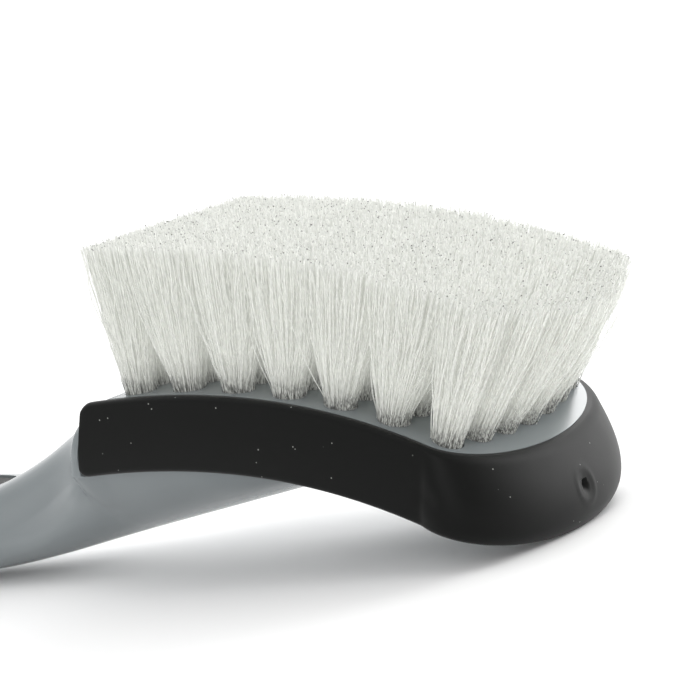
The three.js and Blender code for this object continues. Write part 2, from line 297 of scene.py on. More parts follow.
handle_top = station_line(
    (-142, -61.5), (-128, -55), (-112, -48), (-92, -41.6), (-72, -37.3), (-55, -34.9), (-44, -32.6),
    (-34, -27.2), (-24, -20.3), (-15, -13), (-7, -7), (-1.5, -3.4), (FLANGE_X, -3),
)
handle_bottom = station_line(
    (-142, -79.5), (-122, -75), (-112, -71.2), (-98, -66.2), (-75, -60), (-58, -56.2), (-45, -52.9),
    (-30, KEEL_AT_REAR - 30 * KEEL_SLOPE), (0, KEEL_AT_REAR),
    (KEEL_FRONT_X, KEEL_AT_REAR + KEEL_FRONT_X * KEEL_SLOPE),
)
body_half_width = station_line(
    (-142, 14.5), (-124, 15.6), (-100, 15), (-75, 16), (-50, 14.6), (-34, 14.2), (-20, 15.2),
    (-13, 17.4), (-8, 21), (-4, 26.4), (-1, FLANGE_HALF_WIDTH), (1.2, FLANGE_HALF_WIDTH),
    (6, 29.6), (30, 27.5), (KEEL_FRONT_X, 17),
)
# Low on the body, the neck widens into the hull gently, without the flange's edge.
low_half_width = station_line(
    (-142, 14.5), (-124, 15.6), (-100, 15), (-75, 16), (-50, 15), (-30, 17), (-12, 21.5), (4, 25.5),
    (22, 27.5), (36, 26.8), (KEEL_FRONT_X, 17),
)
widest_height = station_line(
    (-142, -70), (-100, -54), (-60, -45), (-30, -36), (-12, -22.5), (-1.5, -15.5), (1, -15.5),
    (24, arch_height(24) - 15.5), (KEEL_FRONT_X, arch_height(KEEL_FRONT_X) - 13),
)


SIDE_RUN = NOSE_START - BUMPER_START
# Close to the half ellipse's own length.
NOSE_RUN = math.pi * math.sqrt((NOSE_LENGTH**2 + PLATE_HALF_WIDTH**2) / 2)
EDGE_LENGTH = 2 * SIDE_RUN + NOSE_RUN


def plate_edge(share):
    """A point on the plate's open outline and its outward direction; share runs 0 to 1 along it,
    from the rear corner at -Y round the nose to the rear corner at +Y."""
    along = share * EDGE_LENGTH
    a, b = NOSE_LENGTH, PLATE_HALF_WIDTH
    if along < SIDE_RUN:
        return Vector((BUMPER_START + along, -b)), Vector((0.0, -1.0))
    if along > EDGE_LENGTH - SIDE_RUN:
        return Vector((BUMPER_START + EDGE_LENGTH - along, b)), Vector((0.0, 1.0))
    turn = math.pi * ((along - SIDE_RUN) / NOSE_RUN - 0.5)
    point = Vector((NOSE_START + a * math.cos(turn), b * math.sin(turn)))
    return point, Vector((b * math.cos(turn), a * math.sin(turn))).normalized()


def ramp(value, start, end):
    """Runs from 0 at start to 1 at end, and stays there."""
    return min(max((value - start) / (end - start), 0.0), 1.0)


# ---- mesh helpers ----


def unit_tube(segments, rings):
    """A closed tube along Z from 0 to 1, radius 1, with the given number of rings."""
    bm = bmesh.new()
    bmesh.ops.create_cone(bm, cap_ends=True, segments=segments, radius1=1, radius2=1, depth=1)
    bmesh.ops.translate(bm, verts=bm.verts, vec=(0, 0, 0.5))
    long_edges = [e for e in bm.edges if abs(e.verts[0].co.z - e.verts[1].co.z) > 0.5]
    bmesh.ops.subdivide_edges(bm, edges=long_edges, cuts=rings - 2, use_grid_fill=True)
    return bm


def reshape(bm, place):
    """Moves every vertex to place(its position)."""
    for vertex in bm.verts:
        vertex.co = place(vertex.co.copy())


def new_piece(bm, name, material, lay=True, smooth_angle=math.radians(35)):
    """Finishes a bmesh as an object at the origin, with its place in its mesh."""
    bmesh.ops.remove_doubles(bm, verts=bm.verts, dist=1e-4)
    bmesh.ops.recalc_face_normals(bm, faces=bm.faces)
    if lay:
        bmesh.ops.transform(bm, matrix=HEAD_TO_FRAME, verts=bm.verts)
    mesh = bpy.data.meshes.new(name)
    bm.to_mesh(mesh)
    bm.free()
    mesh.polygons.foreach_set("use_smooth", [True] * len(mesh.polygons))
    mesh.set_sharp_from_angle(angle=smooth_angle)
    piece = bpy.data.objects.new(name, mesh)
    bpy.context.scene.collection.objects.link(piece)
    mesh.materials.append(material)
    return piece


def combine(base, others, operation):
    """Joins or cuts a piece with other pieces, which are then removed."""
    for other in others:
        step = base.modifiers.new(operation.lower(), "BOOLEAN")
        step.operation = operation
        step.solver = "EXACT"
        step.object = other
    depsgraph = bpy.context.evaluated_depsgraph_get()
    made = bpy.data.meshes.new_from_object(base.evaluated_get(depsgraph))
    base.modifiers.clear()
    base.data = made
    for other in others:
        bpy.data.objects.remove(other)


def join_piece(piece, *nodes, slot=None):
    """Registers a finished piece on the brush's one body, standing for its CAD nodes."""
    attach(piece, "root")
    if nodes:
        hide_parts(*nodes)


# ---- materials ----


def add_node(tree, kind, links=None, values=None, **properties):
    """Adds a node, sets its properties, and links its inputs or gives them values."""
    node = tree.nodes.new(kind)
    for key, value in properties.items():
        setattr(node, key, value)
    for key, value in (values or {}).items():
        node.inputs[key].default_value = value
    for key, source in (links or {}).items():
        tree.links.new(source, node.inputs[key])
    return node


def start_material(name):
    """A new material, its node tree and its shader, already on the output."""
    material = bpy.data.materials.new(name)
    material.use_nodes = True
    tree = material.node_tree
    tree.nodes.clear()
    shader = add_node(tree, "ShaderNodeBsdfPrincipled")
    output = add_node(tree, "ShaderNodeOutputMaterial")
    tree.links.new(shader.outputs["BSDF"], output.inputs["Surface"])
    return material, tree, shader


def moulded_polypropylene(settings):
    """Grey polypropylene from a polished mould: a satin gloss with broad soft highlights, a very
    fine grain, and slightly duller patches where hands have rubbed it."""
    material, tree, shader = start_material("moulded_polypropylene")
    place = add_node(tree, "ShaderNodeTexCoord").outputs["Object"]
    patches = add_node(
        tree,
        "ShaderNodeTexNoise",
        {"Vector": place},
        {"Scale": 60.0, "Detail": 3.0, "Roughness": 0.5},
    ).outputs["Fac"]
    base = Vector(settings.body_colour)
    tone = add_node(
        tree, "ShaderNodeMix", {0: patches}, {6: base * 0.96, 7: base * 1.04}, data_type="RGBA"
    )
    gloss = add_node(
        tree, "ShaderNodeMapRange", {"Value": patches}, {"To Min": 0.2, "To Max": 0.28}
    )
    # The grain of the mould is about 0.1 mm; drawn at 0.3 mm so that it shows.
    grain = add_node(
        tree, "ShaderNodeTexNoise", {"Vector": place}, {"Scale": 1 / (0.3 * MM), "Detail": 2.0}
    )
    relief = add_node(
        tree,
        "ShaderNodeBump",
        {"Height": grain.outputs["Fac"]},
        {"Strength": 0.15, "Distance": 0.03 * MM},
    )
    tree.links.new(tone.outputs[2], shader.inputs["Base Color"])
    tree.links.new(gloss.outputs["Result"], shader.inputs["Roughness"])
    tree.links.new(relief.outputs["Normal"], shader.inputs["Normal"])
    shader.inputs["IOR"].default_value = 1.49
    return material


def moulded_rubber(settings, name="moulded_rubber", roughness=(0.42, 0.55)):
    """Black thermoplastic rubber, injection moulded: a soft satin sheen, a fine skin, and a few
    pale specks of dust that cling to it."""
    material, tree, shader = start_material(name)
    place = add_node(tree, "ShaderNodeTexCoord").outputs["Object"]
    skin = add_node(
        tree,
        "ShaderNodeTexNoise",
        {"Vector": place},
        {"Scale": 90.0, "Detail": 4.0, "Roughness": 0.6},
    )
    # Specks of about 0.3 mm, one to every 3 mm or so, and only in some places.
    specks = add_node(
        tree, "ShaderNodeTexVoronoi", {"Vector": place}, {"Scale": 1 / (3 * MM), "Randomness": 1.0}
    )
    speck = add_node(
        tree,
        "ShaderNodeMapRange",
        {"Value": specks.outputs["Distance"]},
        {"From Min": 0.06, "From Max": 0.04},
    )
    areas = add_node(
        tree, "ShaderNodeTexNoise", {"Vector": place}, {"Scale": 1 / (9 * MM), "Detail": 1.0}
    )
    dusty = add_node(
        tree,
        "ShaderNodeMapRange",
        {"Value": areas.outputs["Fac"]},
        {"From Min": 0.4, "From Max": 0.5},
    )
    dust = add_node(
        tree,
        "ShaderNodeMath",
        {0: speck.outputs["Result"], 1: dusty.outputs["Result"]},
        operation="MULTIPLY",
    )
    tone = add_node(
        tree,
        "ShaderNodeMix",
        {0: dust.outputs[0]},
        {6: settings.rubber_colour, 7: linear("#8E908C")},
        data_type="RGBA",
    )
    gloss = add_node(
        tree,
        "ShaderNodeMapRange",
        {"Value": skin.outputs["Fac"]},
        {"To Min": roughness[0], "To Max": roughness[1]},
    )
    # The moulded skin's own grain is about 0.1 mm; drawn at 0.35 mm so that it shows.
    grain = add_node(
        tree, "ShaderNodeTexNoise", {"Vector": place}, {"Scale": 1 / (0.35 * MM), "Detail": 2.0}
    )
    relief = add_node(
        tree,
        "ShaderNodeBump",
        {"Height": grain.outputs["Fac"]},
        {"Strength": 0.2, "Distance": 0.04 * MM},
    )
    tree.links.new(tone.outputs[2], shader.inputs["Base Color"])
    tree.links.new(gloss.outputs["Result"], shader.inputs["Roughness"])
    tree.links.new(relief.outputs["Normal"], shader.inputs["Normal"])
    shader.inputs["IOR"].default_value = 1.5
    shader.inputs["Specular IOR Level"].default_value = 0.12
    shader.inputs["Sheen Weight"].default_value = 0.12
    shader.inputs["Sheen Roughness"].default_value = 0.45
    return material


def painted_shade_share(tree, place, crimp, above_plate):
    """Painted shade on a filament: how dark it is painted at some of the cut ends, where the light
    runs away down the strand, and in streaks close to the plate, where little light comes in
    between the strands."""
    below_tip = add_node(tree, "ShaderNodeAttribute", attribute_name="below_tip").outputs["Fac"]
    cut_end = add_node(
        tree, "ShaderNodeMapRange", {"Value": below_tip}, {"From Min": 0.4, "From Max": 0.15}
    )
    # A filament is 0.3 mm across, so a patch takes one or two of them.
    patch = add_node(
        tree, "ShaderNodeTexNoise", {"Vector": place}, {"Scale": 1 / (0.6 * MM), "Detail": 0.0}
    )
    chosen = add_node(
        tree,
        "ShaderNodeMapRange",
        {"Value": patch.outputs["Fac"]},
        {"From Min": 0.66, "From Max": 0.8},
    )
    ends = add_node(
        tree,
        "ShaderNodeMath",
        {0: cut_end.outputs["Result"], 1: chosen.outputs["Result"]},
        operation="MULTIPLY",
    )
    # Painted shade: dark streaks on the strands over the lowest few millimetres above the plate.
    near_plate = add_node(
        tree,
        "ShaderNodeMapRange",
        {"Value": above_plate},
        {"From Min": 3.5, "From Max": 0.5, "To Max": 0.68},
    )
    streak = add_node(
        tree, "ShaderNodeMapRange", {"Value": crimp}, {"From Min": 0.53, "From Max": 0.43}
    )
    streaks = add_node(
        tree,
        "ShaderNodeMath",
        {0: near_plate.outputs["Result"], 1: streak.outputs["Result"]},
        operation="MULTIPLY",
    )
    return add_node(
        tree, "ShaderNodeMath", {0: ends.outputs[0], 1: streaks.outputs[0]}, operation="MAXIMUM"
    ).outputs[0]


def crimped_nylon(settings):
    """White nylon filament, crimped, cut and half clear: light passes through each strand and
    scatters on in the tuft, and the crimp breaks its gloss into short glints. Painted shade darkens
    some cut ends and the strands close to the plate, and a painted glow stands in for light
    scattered further. It reads two attributes, a point's height above the plate and its distance
    below the cut tip, in mm."""
    material, tree, shader = start_material("crimped_nylon")
    place = add_node(tree, "ShaderNodeTexCoord").outputs["Object"]
    above_plate = add_node(tree, "ShaderNodeAttribute", attribute_name="above_plate").outputs["Fac"]
    # One strand is 0.3 mm across and its crimp about 1.6 mm long, so the pattern is stretched.
    along = add_node(
        tree,
        "ShaderNodeMapping",
        {"Vector": place},
        {"Scale": (1 / (0.35 * MM), 1 / (0.35 * MM), 1 / (1.6 * MM))},
    )
    crimp = add_node(
        tree,
        "ShaderNodeTexNoise",
        {"Vector": along.outputs["Vector"]},
        {"Scale": 1.0, "Detail": 1.0},
    ).outputs["Fac"]
    relief = add_node(
        tree, "ShaderNodeBump", {"Height": crimp}, {"Strength": 0.6, "Distance": 0.2 * MM}
    ).outputs["Normal"]
    tone = add_node(
        tree, "ShaderNodeMapRange", {"Value": crimp}, {"From Min": 0.3, "From Max": 0.7}
    )
    base = Vector(settings.bristle_colour)
    clean = add_node(
        tree,
        "ShaderNodeMix",
        {0: tone.outputs["Result"]},
        {6: base * 0.8, 7: base},
        data_type="RGBA",
    )
    # The dark grey is the painted shade's colour, mixed in at the cut ends and near the plate.
    colour_with_painted_shade = add_node(
        tree,
        "ShaderNodeMix",
        {0: painted_shade_share(tree, place, crimp, above_plate), 6: clean.outputs[2]},
        {7: linear("#3E403E")},
        data_type="RGBA",
    ).outputs[2]
    through = add_node(tree, "ShaderNodeBsdfTranslucent", {"Color": colour_with_painted_shade, "Normal": relief})
    both = add_node(
        tree,
        "ShaderNodeMixShader",
        {1: shader.outputs["BSDF"], 2: through.outputs["BSDF"]},
        {"Fac": 0.4},
    )
    clear = add_node(tree, "ShaderNodeBsdfTransparent")
    half_clear = add_node(
        tree,
        "ShaderNodeMixShader",
        {1: both.outputs["Shader"], 2: clear.outputs["BSDF"]},
        {"Fac": 0.25},
    )
    # Painted glow: the strands emit light that stands in for light which keeps scattering between
    # them after the last bounce that is followed. It fades toward the plate as painted shade, where
    # the strands stand close and little light comes down.
    painted_glow = add_node(
        tree,
        "ShaderNodeMapRange",
        {"Value": above_plate},
        {"From Max": 8.0, "To Min": 0.1, "To Max": 0.33},
    )
    output = next(node for node in tree.nodes if node.type == "OUTPUT_MATERIAL")
    tree.links.new(half_clear.outputs["Shader"], output.inputs["Surface"])
    tree.links.new(colour_with_painted_shade, shader.inputs["Base Color"])
    tree.links.new(colour_with_painted_shade, shader.inputs["Emission Color"])
    tree.links.new(painted_glow.outputs["Result"], shader.inputs["Emission Strength"])
    tree.links.new(relief, shader.inputs["Normal"])
    shader.inputs["Roughness"].default_value = 0.22
    shader.inputs["IOR"].default_value = 1.53
    return material


def stamped_brass():
    """Flat staples stamped from brass strip: warm, slightly brushed metal, deep in the holes."""
    material, tree, shader = start_material("stamped_brass")
    place = add_node(tree, "ShaderNodeTexCoord").outputs["Object"]
    brushed = add_node(
        tree, "ShaderNodeTexNoise", {"Vector": place}, {"Scale": 1 / (0.4 * MM), "Detail": 2.0}
    )
    gloss = add_node(
        tree,
        "ShaderNodeMapRange",
        {"Value": brushed.outputs["Fac"]},
        {"To Min": 0.25, "To Max": 0.4},
    )
    tree.links.new(gloss.outputs["Result"], shader.inputs["Roughness"])
    shader.inputs["Base Color"].default_value = linear("#C9A24B")
    shader.inputs["Metallic"].default_value = 1.0
    return material


def matt_paper(settings):
    """Seamless studio paper: a pale, matt sheet with a faint tooth."""
    material, tree, shader = start_material("matt_paper")
    place = add_node(tree, "ShaderNodeTexCoord").outputs["Object"]
    tooth = add_node(
        tree, "ShaderNodeTexNoise", {"Vector": place}, {"Scale": 400.0, "Detail": 2.0}
    )
    base = Vector(settings.floor_colour)
    tone = add_node(
        tree,
        "ShaderNodeMix",
        {0: tooth.outputs["Fac"]},
        {6: base * 0.99, 7: base},
        data_type="RGBA",
    )
    tree.links.new(tone.outputs[2], shader.inputs["Base Color"])
    shader.inputs["Roughness"].default_value = 0.9
    shader.inputs["Specular IOR Level"].default_value = 0.1
    return material


# ---- bristle layout ----


def tuft_place(column, row):
    y = (row - (ROWS - 1) / 2) * ROW_PITCH
    share = y / ((ROWS - 1) / 2 * ROW_PITCH)
    bow = FRONT_BOW * (1 - share * share) if column == COLUMNS - 1 else 0.0
    return FIRST_TUFT_X + column * TUFT_PITCH + bow, y


def tuft_lean(x, y):
    """Sideways travel per millimetre of height: square to the arched plate, and a little more."""
    front_x = FIRST_TUFT_X + (COLUMNS - 1) * TUFT_PITCH
    middle_share = 1 - (y / PLATE_HALF_WIDTH) ** 2
    forward = FRONT_LEAN * middle_share if x > front_x - 1 else 0.0
    return forward - arch_slope(x), SIDE_LEAN * y / PLATE_HALF_WIDTH


def tip_place(column, row):
    x, y = tuft_place(column, row)
    lean_x, lean_y = tuft_lean(x, y)
    rise = trim_height(x) - arch_height(x)
    return x + lean_x * rise, y + lean_y * rise


# ---- body ----


def end_inset(from_end):
    """How much lower the bumper's wall is near its ends, where its corners are round."""
    short = min(max(BUMPER_CORNER - from_end, 0.0), BUMPER_CORNER)
    return BUMPER_CORNER - math.sqrt(BUMPER_CORNER**2 - short**2)


def hull_top(x):
    """The hull ends just under the bumper, and fills the bumper's round lower corner."""
    return arch_height(x) - BUMPER_HEIGHT - HULL_GAP + end_inset(x - BUMPER_START)


def body_loft():
    """Neck, handle and the keel behind the plate, as one tube of changing sections."""
    bm = unit_tube(segments=112, rings=300)
    lid_x = FLANGE_X + 0.01  # from here on, the head's core stands on the keel
    half_step = 0.36  # just over half the distance between two rings
    low_start = 1 / 1.7  # this far down its lower half, a section has its low width

    def place(v):
        x = HANDLE_END_X + (KEEL_FRONT_X - HANDLE_END_X) * v.z
        if abs(x - FLANGE_X) < half_step:
            x = FLANGE_X if x < lid_x else lid_x
        into_end = 1 - ramp(x, HANDLE_END_X, HANDLE_END_X + END_ROUNDING)
        closing = math.sqrt(1 - END_CLOSING * into_end**END_POWER)
        radius = math.hypot(v.x, v.y)
        across, upward = (v.x / radius, v.y / radius) if radius > 0 else (0.0, 0.0)
        middle = widest_height(x)
        if upward > 0:
            power = UPPER_FULLNESS
            top = handle_top(x) if x < lid_x else hull_top(x)
            reach = max(top - middle, LEAST_REACH)
        else:
            under_head = ramp(x, *KEEL_BLEND_X)
            power = HANDLE_FULLNESS + (KEEL_FULLNESS - HANDLE_FULLNESS) * under_head
            reach = middle - handle_bottom(x)
        low = ramp(-upward, 0.0, low_start)
        width = body_half_width(x) * (1 - low) + low_half_width(x) * low
        y = math.copysign(abs(across) ** power, across) * width
        z = math.copysign(abs(upward) ** power, upward) * reach
        return Vector((x, y * radius * closing, middle + z * radius * closing))

    reshape(bm, place)
    return bm


def close_with_rings(bm, rim, surface, rings=24):
    """Fills a rim with ever smaller rings drawn toward the plate's middle, on a height line."""
    centre = Vector((PLATE_LENGTH / 2, 0.0))
    edges = rim
    for left in range(rings, 1, -1):
        grown = bmesh.ops.extrude_edge_only(bm, edges=edges)["geom"]
        edges = [g for g in grown if isinstance(g, bmesh.types.BMEdge)]
        for vertex in (g for g in grown if isinstance(g, bmesh.types.BMVert)):
            flat = centre + (vertex.co.xy - centre) * (left - 1) / left
            vertex.co = Vector((flat.x, flat.y, surface(flat.x)))
    bmesh.ops.contextual_create(bm, geom=edges)


def core_block():
    """The head behind the plate: rings that follow the plate's outline, arched, then a wall."""
    bm = bmesh.new()
    bmesh.ops.create_circle(bm, cap_ends=False, segments=300, radius=1)
    rear_share = 0.16  # of the turns go to the straight rear end
    overlap = 0.1  # of the core and the hull under it
    drawn_back = 0.5  # of the sides, to meet the rear end

    def outline(turn):
        along = (turn / (2 * math.pi)) % 1.0
        if along > 1 - rear_share:
            back = (along - (1 - rear_share)) / rear_share
            return Vector((0.0, PLATE_HALF_WIDTH * (1 - 2 * back)))
        point, _ = plate_edge(along / (1 - rear_share))
        if point.x < BUMPER_START + drawn_back:
            point.x = max(point.x - BUMPER_START, 0.0)
        return point

    def underside(x):
        return arch_height(x) - BUMPER_HEIGHT - HULL_GAP - overlap

    for vertex in bm.verts:
        point = outline(math.atan2(vertex.co.y, vertex.co.x))
        vertex.co = Vector((point.x, point.y, plate_top(point.x)))
    rim = list(bm.edges)
    close_with_rings(bm, rim, plate_top)
    grown = bmesh.ops.extrude_edge_only(bm, edges=rim)["geom"]
    for vertex in (g for g in grown if isinstance(g, bmesh.types.BMVert)):
        vertex.co.z = underside(vertex.co.x)
    low_rim = [g for g in grown if isinstance(g, bmesh.types.BMEdge)]
    close_with_rings(bm, low_rim, underside)
    return bm


def hole_cutters():
    """All the blind holes, as cylinders that lean with their tufts."""
    bm = bmesh.new()
    above_plate = 2.0
    for column in range(COLUMNS):
        for row in range(ROWS):
            x, y = tuft_place(column, row)
            lean_x, lean_y = tuft_lean(x, y)
            made = bmesh.ops.create_cone(
                bm, cap_ends=True, segments=28, radius1=HOLE_RADIUS, radius2=HOLE_RADIUS, depth=1
            )["verts"]
            for vertex in made:
                rise = above_plate if vertex.co.z > 0 else -HOLE_DEPTH
                flat = vertex.co.xy
                vertex.co = Vector(
                    (x + flat.x + lean_x * rise, y + flat.y + lean_y * rise, arch_height(x) + rise)
                )
    return bm


def stadium_block(front, rear, half_width, top_line, bottom_line):
    """A long block with round ends in plan, between two height lines."""
    bm = bmesh.new()
    bmesh.ops.create_grid(bm, x_segments=96, y_segments=20, size=1)
    grown = bmesh.ops.extrude_face_region(bm, geom=list(bm.faces))["geom"]
    low = {g for g in grown if isinstance(g, bmesh.types.BMVert)}
    middle, half_length = (front + rear) / 2, (front - rear) / 2

    def place(v, is_low):
        # The ends close on a half circle, with the stations drawn together toward the tips.
        x = middle + half_length * math.sin(v.x * math.pi / 2)
        past = max(abs(x - middle) - (half_length - half_width), 0.0)
        width = math.sqrt(max(half_width**2 - past**2, 0.0))
        y = v.y * width
        z = bottom_line(x, v.y) if is_low else top_line(x, v.y)
        return Vector((x, y, z))

    for vertex in bm.verts:
        vertex.co = place(vertex.co.copy(), vertex in low)
    return bm


def ground_block():
    """Everything under the ground, which cuts the flat land that the handle rests on."""
    bm = bmesh.new()
    bmesh.ops.create_cube(bm, size=1)
    bmesh.ops.scale(bm, vec=GROUND_CUTTER, verts=bm.verts)
    bmesh.ops.translate(bm, vec=(0, 0, -GROUND_CUTTER[2] / 2), verts=bm.verts)
    return bm


def hang_hole_cutter():
    """The hang hole, square to the ground."""
    bm = bmesh.new()
    centre = HEAD_TO_FRAME @ Vector((HANG_HOLE_X, 0, handle_top(HANG_HOLE_X)))
    radius = HANG_HOLE_RADIUS * MM
    bmesh.ops.create_cone(
        bm,
        cap_ends=True,
        segments=64,
        radius1=radius,
        radius2=radius,
        depth=HANG_CUTTER_LENGTH,
    )
    bmesh.ops.translate(bm, vec=(centre.x, 0, HANG_CUTTER_HEIGHT), verts=bm.verts)
    return bm


class WHEELBRUSH_OT_body(bpy.types.Operator):
    """Builds the grey moulded body: plate with blind holes, core, neck and handle"""

    bl_idname = "wheelbrush.body"
    bl_label = "Body"

    def execute(self, context):
        plastic = moulded_polypropylene(context.scene.wheel_brush)
        body = new_piece(body_loft(), "moulded_body", plastic)
        core = new_piece(core_block(), "core", plastic)
        holes = new_piece(hole_cutters(), "holes", plastic)
        pocket = new_piece(
            stadium_block(
                PAD_FRONT_X + POCKET_GAP,
                PAD_REAR_X - POCKET_GAP,
                PAD_HALF_WIDTH + POCKET_GAP,
                lambda x, v: handle_top(x) + POCKET_OVERCUT,
                lambda x, v: handle_top(x) - PAD_SINK - PAD_THICKNESS - POCKET_GAP,
            ),
            "pocket",
            plastic,
        )
        hang = new_piece(hang_hole_cutter(), "hang", plastic, lay=False)
        ground = new_piece(ground_block(), "ground", plastic, lay=False)
        combine(core, [holes], "DIFFERENCE")
        combine(body, [core], "UNION")
        combine(body, [pocket, hang, ground], "DIFFERENCE")
        body.data.polygons.foreach_set("use_smooth", [True] * len(body.data.polygons))
        body.data.set_sharp_from_angle(angle=math.radians(32))
        join_piece(body, "body", slot="body_plastic")
        return {"FINISHED"}


# ---- bumper ----


def bumper_reach(depth_share, nose_share):
    """How far the outer wall stands off the plate's edge, at a share of its height down."""
    below = depth_share / BUMPER_BULGE_SHARE
    past = max(depth_share - BUMPER_BULGE_SHARE, 0.0) / (1 - BUMPER_BULGE_SHARE)
    bulge = math.sin(below * math.pi / 2) if below < 1 else 1 - BUMPER_TUCK * past * past
    flare = BUMPER_SIDE_FLARE + (BUMPER_NOSE_FLARE - BUMPER_SIDE_FLARE) * nose_share
    return BUMPER_THICKNESS + flare * bulge


def bumper_section(turn, nose_share):
    """Outward reach and depth of a point of the band's section; turn runs 0 to 1 round it."""
    wall_share = 0.6  # of the turns go to the outer wall and its two round edges
    if turn > wall_share:
        t = (turn - wall_share) / (1 - wall_share)
        return BUMPER_GAP, BUMPER_HEIGHT * (0.5 + 0.5 * math.cos(math.pi * t))
    depth = BUMPER_HEIGHT * (0.5 - 0.5 * math.cos(math.pi * turn / wall_share))
    short = max(BUMPER_EDGE_RADIUS - min(depth, BUMPER_HEIGHT - depth), 0.0)
    cut = BUMPER_EDGE_RADIUS - math.sqrt(BUMPER_EDGE_RADIUS**2 - short**2)
    return bumper_reach(depth / BUMPER_HEIGHT, nose_share) - cut, depth


def bumper_band():
    """The rubber band: one rounded section carried round the head, with rounded square ends."""
    bm = unit_tube(segments=64, rings=420)

    def place(v):
        # Stations are drawn together toward both ends, where the corners are round.
        share = v.z - 0.35 * math.sin(4 * math.pi * v.z) / (4 * math.pi)
        share = min(max(share, 0.0), 1.0)
        point, outward = plate_edge(share)
        turn = (math.atan2(v.y, v.x) / (2 * math.pi)) % 1.0
        reach, depth = bumper_section(turn, max(outward.x, 0.0))
        from_end = min(share, 1 - share) * EDGE_LENGTH
        inset = end_inset(from_end)
        depth = inset + depth * (BUMPER_HEIGHT - 2 * inset) / BUMPER_HEIGHT
        short = 1 - ramp(from_end, 0.0, BUMPER_END_SOFTNESS)
        fullness = 0.8 + 0.2 * math.sqrt(1 - short**2)
        flat = point + outward * (BUMPER_GAP + (reach - BUMPER_GAP) * fullness)
        spot = Vector((flat.x, flat.y, arch_height(flat.x) - depth))
        return spot + gate_mark(spot) + side_dent(spot)

    reshape(bm, place)
    return bm


def gate_mark(spot):
    """The mark where the rubber was injected: a pit in the middle of the nose, in a faint ring."""
    if spot.x < PLATE_LENGTH:
        return Vector((0, 0, 0))
    pit_depth, pit_radius = 1.6, 0.95
    dish_depth, dish_radius = 0.25, 2.4
    ring_height, ring_radius, ring_width = 0.16, 3.3, 0.5
    away = math.hypot(spot.y, spot.z - (arch_height(GATE_X) - GATE_DEPTH))
    pit = pit_depth * math.exp(-((away / pit_radius) ** 4))
    dish = dish_depth * math.exp(-((away / dish_radius) ** 4))
    ring = ring_height * math.exp(-(((away - ring_radius) / ring_width) ** 2))
    return Vector((ring - pit - dish, 0, 0))


def side_dent(spot):
    """A shallow sink mark low on each side, where the nose begins to turn."""
    if spot.x < PLATE_LENGTH / 2:
        return Vector((0, 0, 0))
    dent_x, dent_drop, dent_depth, dent_radius = NOSE_START + 2.5, 9.5, 0.4, 2.2
    away = math.hypot(spot.x - dent_x, spot.z - (arch_height(spot.x) - dent_drop))
    depth = dent_depth * math.exp(-((away / dent_radius) ** 2))
    return Vector((0, -math.copysign(depth, spot.y), 0))


class WHEELBRUSH_OT_bumper(bpy.types.Operator):
    """Builds the black rubber bumper round the head"""

    bl_idname = "wheelbrush.bumper"
    bl_label = "Bumper"

    def execute(self, context):
        rubber = moulded_rubber(context.scene.wheel_brush)
        bumper = new_piece(bumper_band(), "rubber_bumper", rubber)
        join_piece(bumper, "bumper", slot="bumper_rubber")
        return {"FINISHED"}


# ---- grip pad ----


def pad_block():
    """The rubber pad: crowned across, with rounded ribs across its middle stretch."""
    rib_front, rib_rear = PAD_FRONT_X - RIB_END_MARGIN, PAD_REAR_X + RIB_END_MARGIN
    rib_fade = 3.0

    def top(x, v):
        edge = ramp(abs(v), 0.86, 1.0)
        ends = ramp(rib_front - x, 0.0, rib_fade) * ramp(x - rib_rear, 0.0, rib_fade)
        sides = 1 - ramp(abs(v), 0.6, 0.8)
        wave = 0.5 + 0.5 * math.cos(2 * math.pi * (x - rib_front) / RIB_PITCH)
        rib = RIB_HEIGHT * wave**2 * ends * sides
        return handle_top(x) - PAD_SINK + rib + PAD_CROWN * (1 - v * v) - PAD_EDGE_DROP * edge**2

    def bottom(x, v):
        return handle_top(x) - PAD_SINK - PAD_THICKNESS

    return stadium_block(PAD_FRONT_X, PAD_REAR_X, PAD_HALF_WIDTH, top, bottom)


class WHEELBRUSH_OT_grip_pad(bpy.types.Operator):
    """Builds the black rubber pad in the handle"""

    bl_idname = "wheelbrush.grip_pad"
    bl_label = "Grip pad"

    def execute(self, context):
        rubber = moulded_rubber(context.scene.wheel_brush, "matt_moulded_rubber", (0.6, 0.75))
        pad = new_piece(pad_block(), "rubber_grip_pad", rubber, smooth_angle=math.radians(50))
        join_piece(pad, "grip_pad", slot="grip_rubber")
        return {"FINISHED"}


# ---- bristles ----


def strand_shape(levels):
    """One filament: a three-sided tube along Z from 0 to 1, closed at both ends."""
    bm = unit_tube(3, levels)
    mesh = bpy.data.meshes.new("strand")
    bm.to_mesh(mesh)
    bm.free()
    points = np.empty(len(mesh.vertices) * 3)
    mesh.vertices.foreach_get("co", points)
    corners = np.empty(len(mesh.loops), dtype=np.int32)
    mesh.loops.foreach_get("vertex_index", corners)
    totals = np.empty(len(mesh.polygons), dtype=np.int32)
    mesh.polygons.foreach_get("loop_total", totals)
    bpy.data.meshes.remove(mesh)
    return points.reshape(-1, 3), corners, totals


def repeat_strand(name, shape, points):
    """A mesh of many copies of the strand; points has one set of vertices for each copy."""
    base, corners, totals = shape
    copies = len(points)
    offsets = (np.arange(copies) * len(base))[:, None]
    all_corners = (corners[None, :] + offsets).ravel().astype(np.int32)
    all_totals = np.tile(totals, copies)
    starts = np.concatenate(([0], np.cumsum(all_totals)[:-1])).astype(np.int32)
    mesh = bpy.data.meshes.new(name)
    mesh.vertices.add(copies * len(base))
    mesh.vertices.foreach_set("co", points.reshape(-1))
    mesh.loops.add(len(all_corners))
    mesh.loops.foreach_set("vertex_index", all_corners)
    mesh.polygons.add(len(all_totals))
    mesh.polygons.foreach_set("loop_start", starts)
    mesh.update(calc_edges=True)
    mesh.polygons.foreach_set("use_smooth", np.ones(len(all_totals), dtype=bool))
    return mesh


